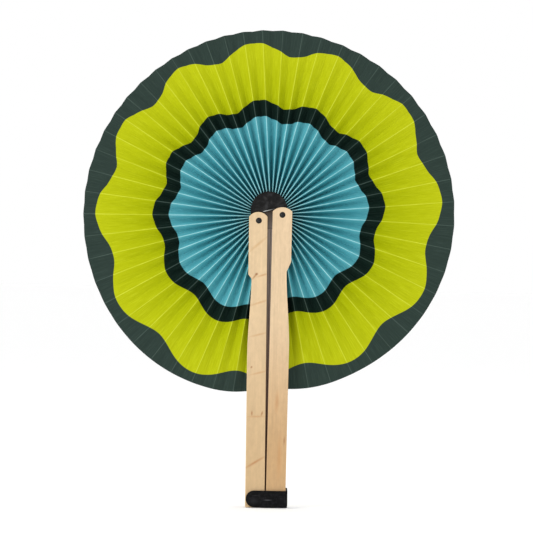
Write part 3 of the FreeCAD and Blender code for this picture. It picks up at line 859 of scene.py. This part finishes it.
def pleated_gore():
    """A tree that folds a block of paper into one gore, by the rule of the fold lines: each runs from the hub
    circle to the rim circle, even lines lie at the back and odd ones at the front."""
    tree = bpy.data.node_groups.new("pleated_gore", "GeometryNodeTree")
    tree.interface.new_socket("Gore", in_out="OUTPUT", socket_type="NodeSocketGeometry")
    for name, value in gore_sizes().items():
        kind = "NodeSocketVector" if isinstance(value, Vector) else "NodeSocketFloat"
        tree.interface.new_socket(name, in_out="INPUT", socket_type=kind).default_value = value
    given = add(tree, "NodeGroupInput").outputs

    # A block of unit size: X runs across the gore, Y through the sheet and Z from the hub to the rim
    panel_steps = 6
    outward_steps = 40
    counts = {
        "Vertices X": panel_steps * LINES_PER_GORE + 1, "Vertices Y": 2, "Vertices Z": outward_steps + 1
    }
    block = add(tree, "GeometryNodeMeshCube", counts)
    position = add(tree, "GeometryNodeInputPosition").outputs[0]
    unit = add(tree, SEPARATE, {0: position}).outputs
    across = {
        "Value": unit["X"], "From Min": -0.5, "From Max": 0.5,
        "To Min": given["First Line"], "To Max": given["Last Line"],
    }
    line = add(tree, MAP_RANGE, across).outputs[0]
    reach = add(tree, MATH, {0: unit["Z"], 1: 0.5}, operation="ADD").outputs[0]

    # The flat place of each point, between the two ends of its fold line, then its height in the pleat
    fold = add(tree, MATH, {0: line, 1: 1.0}, operation="PINGPONG").outputs[0]
    share, free = fold_share(tree, given, line)
    rim_radius = rim_reach(tree, given, fold, share, free)
    pull = left_pull(tree, given, share)
    hub_spot, hub_stride = ring_place(tree, given, "Hub", share, given["Hub Radius"])
    rim_spot, rim_stride = ring_place(tree, given, "Rim", share, rim_radius, pull)
    flat = add(tree, MIX, {0: reach, 4: hub_spot, 5: rim_spot}, data_type="VECTOR").outputs[1]
    stride = add(tree, MIX, {0: reach, 4: hub_stride, 5: rim_stride}, data_type="VECTOR").outputs[1]
    spacing = add(tree, VECTOR_MATH, {0: stride}, operation="LENGTH").outputs["Value"]
    lift = fold_lift(tree, given, fold, reach, spacing, unit["Y"])
    raised = add(tree, COMBINE, {"Y": lift}).outputs[0]
    place = add(tree, VECTOR_MATH, {0: flat, 1: raised}, operation="ADD").outputs[0]

    # The print reads the fold line, the distance from the rim and how far apart the folds are
    length = add(tree, VECTOR_MATH, {0: hub_spot, 1: rim_spot}, operation="DISTANCE").outputs["Value"]
    short_of_rim = add(tree, MATH, {0: 1.0, 1: reach}, operation="SUBTRACT").outputs[0]
    rim_distance = add(tree, MATH, {0: short_of_rim, 1: length}, operation="MULTIPLY").outputs[0]
    made = block.outputs["Mesh"]
    for name, value in (("fold_line", line), ("rim_distance", rim_distance), ("fold_spacing", spacing)):
        made = add(
            tree, "GeometryNodeStoreNamedAttribute", {"Geometry": made, "Name": name, "Value": value},
            data_type="FLOAT", domain="POINT",
        ).outputs[0]
    made = add(tree, "GeometryNodeSetPosition", {"Geometry": made, "Position": place}).outputs[0]
    made = add(tree, "GeometryNodeRealizeInstances", {"Geometry": made}).outputs[0]
    made = add(tree, "GeometryNodeSetMaterial", {"Geometry": made, "Material": PAPER}).outputs[0]
    add(tree, "NodeGroupOutput", {"Gore": made})
    return tree


def baked(name, tree, **inputs):
    """A plain mesh object, made by a node tree with the given inputs."""
    piece = bpy.data.objects.new(name, bpy.data.meshes.new(name))
    bpy.context.scene.collection.objects.link(piece)
    nodes = piece.modifiers.new("nodes", "NODES")
    nodes.node_group = tree
    for socket in tree.interface.items_tree:
        key = socket.name.lower().replace(" ", "_")
        if socket.in_out == "INPUT" and key in inputs:
            nodes[socket.identifier] = inputs[key]
    graph = bpy.context.evaluated_depsgraph_get()
    mesh = bpy.data.meshes.new_from_object(piece.evaluated_get(graph))
    piece.modifiers.clear()
    piece.data = mesh
    return piece


def fold_ends(mesh, line):
    """The hub end and the rim end of a fold line, read from a gore."""
    same_line = 0.01
    lines = mesh.attributes["fold_line"].data
    distances = mesh.attributes["rim_distance"].data
    on_line = [v.index for v in mesh.vertices if abs(lines[v.index].value - line) < same_line]
    ends = [pick(on_line, key=lambda index: distances[index].value) for pick in (max, min)]
    return [Vector((mesh.vertices[index].co.x, 0.0, mesh.vertices[index].co.z)) for index in ends]


def leaf():
    """The pleated leaf, one baked gore in the place of each CAD gore."""
    crease_angle = math.radians(14)
    tree = pleated_gore()
    for number in range(GORES):
        first = number * LINES_PER_GORE
        name = f"paper_gore_{number + 1:02d}"
        gore = baked(name, tree, first_line=float(first), last_line=float(first + LINES_PER_GORE))
        gore.data.set_sharp_from_angle(angle=crease_angle)
        stand_for(gore, f"leaf_gore_{number + 1:02d}")
        hub_end, rim_end = fold_ends(gore.data, first + LINES_PER_GORE // 2)
        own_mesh(gore)


def tape_ring(point, normal, half, thickness, along):
    """The points round a tape's section, up one face and down the other. The tape is thinner at its selvedges
    and ripples a little along its length."""
    thinning = 0.35
    selvedge_power = 6
    ripple_height = 0.05 * MM
    ripple_length = 3.1 * MM
    ripple_power = 4
    across_count = 12
    ring = []
    for face in (1, -1):
        for step in range(across_count + 1):
            share = face * (2 * step / across_count - 1)
            thin = thickness / 2 * (1 - thinning * abs(share) ** selvedge_power)
            flatness = 1 - abs(share) ** ripple_power
            ripple = ripple_height * math.sin(along / ripple_length + 2 * share) * flatness
            spot = point + normal * (face * thin + ripple)
            ring.append((spot.x, spot.y, spot.z + share * half))
    return ring


def tape_strip(name, path, halves, thickness):
    """A woven tape along a path of points, with its half width at each point and a weave map in metres."""
    form = bmesh.new()
    weave = form.loops.layers.uv.new("weave")
    rings = []
    cloth_place = {}
    along = 0.0
    for index, (point, half) in enumerate(zip(path, halves)):
        before = path[max(index - 1, 0)]
        after = path[min(index + 1, len(path) - 1)]
        along += (point - before).length
        heading = Vector((after.x - before.x, after.y - before.y)).normalized()
        normal = Vector((-heading.y, heading.x, 0.0))
        ring = [form.verts.new(spot) for spot in tape_ring(point, normal, half, thickness, along)]
        for vert in ring:
            cloth_place[vert] = (along, vert.co.z - point.z)
        rings.append(ring)
    size = len(rings[0])
    for here, there in zip(rings, rings[1:]):
        for step in range(size):
            following = (step + 1) % size
            form.faces.new((here[step], here[following], there[following], there[step]))
    form.faces.new(rings[0])
    form.faces.new(rings[-1])
    bmesh.ops.recalc_face_normals(form, faces=form.faces)
    for face in form.faces:
        face.smooth = True
        for loop in face.loops:
            loop[weave].uv = cloth_place[loop.vert]
    return new_piece(name, form, TAPE)


def tongue_path(low, high, half, thickness):
    """The line of the tongue from its round tip to the stick's edge, and its half width on the way."""
    tip_steps = 10
    run_steps = 30
    y = (high.y + low.y) / 2
    z = (high.z + low.z) / 2
    round_x = low.x + half
    run_end = high.x - thickness / 2
    path = []
    halves = []
    for step in range(1, tip_steps + 1):
        angle = math.pi / 2 * step / tip_steps
        path.append(Vector((round_x - half * math.cos(angle), y, z)))
        halves.append(half * math.sin(angle))
    for step in range(1, run_steps + 1):
        path.append(Vector((round_x + (run_end - round_x) * step / run_steps, y, z)))
        halves.append(half)
    return path, halves


def wrap_path(low, high, half, thickness, start_z):
    """The line of the fixed end, which climbs as it goes round the stick's edge."""
    side_steps = 16
    bend_steps = 6
    rear_steps = 12
    bend = thickness
    rear_z = high.z - half
    side_x = high.x - thickness / 2
    rear_y = high.y - thickness / 2
    path = []
    for step in range(side_steps + 1):
        share = step / side_steps
        side_y = low.y + (rear_y - bend - low.y) * share
        path.append(Vector((side_x, side_y, start_z + (rear_z - start_z) * share)))
    for step in range(1, bend_steps + 1):
        angle = math.pi / 2 * step / bend_steps
        bend_x = side_x - bend * (1 - math.cos(angle))
        path.append(Vector((bend_x, rear_y - bend * (1 - math.sin(angle)), rear_z)))
    corner_x = path[-1].x
    for step in range(1, rear_steps + 1):
        path.append(Vector((corner_x + (low.x - corner_x) * step / rear_steps, rear_y, rear_z)))
    return path


def strap():
    """The strap's tongue, the end fixed round the right stick, and the hook patch under the tongue's tip."""
    low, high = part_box("strap_tongue")
    half = (high.z - low.z) / 2
    middle_z = (high.z + low.z) / 2
    thickness = high.y - low.y
    path, halves = tongue_path(low, high, half, thickness)
    stand_for(tape_strip("strap_tongue_tape", path, halves, thickness), "strap_tongue")
    low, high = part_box("strap_wrap")
    path = wrap_path(low, high, half, thickness, middle_z)
    stand_for(tape_strip("strap_wrap_tape", path, [half] * len(path), thickness), "strap_wrap")
    patch_ease = 0.1 * MM
    stand_for(eased_copy("hook_patch", patch_ease, HOOKS), "hook_patch")


def small_parts():
    """CAD nodes whose shape is right get their finish."""
    for side in ("left", "right"):
        for part in ("rivet", "rivet_burr", "sleeve"):
            dress(f"{side}_{part}", BLACK_STEEL)
        dress(side + "_leaf_flap", PLAIN_PAPER)
    dress("strap_tacks", BLACK_STEEL)


# Stage

def studio():
    """A pale floor under the fan's foot, a white surround, a key light from the left and one from above."""
    floor_half = 40.0
    floor_gap = 0.2 * MM
    floor_form = bmesh.new()
    bmesh.ops.create_grid(floor_form, x_segments=1, y_segments=1, size=floor_half)

    # Matt paint, rolled on: nearly white, with a stipple too faint to see
    paint = mottled(
        "painted_pale_floor", ("#FEFEFE", "#FFFFFF"), grit=4 * MM, roughness=0.8, specular=0.1,
        bump_height=0.01 * MM,
    )
    floor = new_piece("floor", floor_form, paint)
    floor.location.z = cad_box[0].z - floor_gap

    world = bpy.data.worlds.new("white_surround")
    bpy.context.scene.world = world
    world.use_nodes = True
    world.node_tree.nodes.clear()
    sky = add(world.node_tree, "ShaderNodeBackground", {"Color": linear("#FFFFFF"), "Strength": 1.0})
    add(world.node_tree, "ShaderNodeOutputWorld", {"Surface": sky.outputs[0]})

    # Each light's place and size in metres, and its power in watts
    middle = Vector((0.0, 0.0, 0.12))
    for name, place, size, power in (
        ("key", Vector((-1.3, -1.7, 0.6)), 1.4, 16.0),
        ("overhead", Vector((0.0, 0.6, 2.6)), 3.0, 12.0),
    ):
        lamp = bpy.data.lights.new(name, "AREA")
        lamp.size = size
        lamp.energy = power
        holder = bpy.data.objects.new(name, lamp)
        holder.location = place
        holder.rotation_euler = (middle - place).to_track_quat("-Z", "Y").to_euler()
        bpy.context.scene.collection.objects.link(holder)


def camera():
    """A long lens square on to the front, level with the leaf's lower half and rolled by a degree."""
    frame_width = 347.8 * MM
    frame_middle_x = -2.1 * MM
    frame_middle_z = 116.2 * MM
    roll_angle = math.radians(1.12)
    distance = 4.0
    lens = bpy.data.cameras.new("front_camera")
    lens.sensor_width = 36.0
    lens.lens = lens.sensor_width * distance / frame_width
    holder = bpy.data.objects.new("front_camera", lens)
    holder.location = (frame_middle_x, -distance, frame_middle_z)
    level = Euler((math.pi / 2, 0.0, 0.0)).to_matrix()
    roll = Euler((0.0, 0.0, roll_angle)).to_matrix()
    holder.rotation_euler = (level @ roll).to_euler()
    bpy.context.scene.collection.objects.link(holder)
    bpy.context.scene.camera = holder


sticks()
hub()
leaf()
strap()
small_parts()
studio()
camera()
bpy.context.scene.view_settings.view_transform = "Standard"
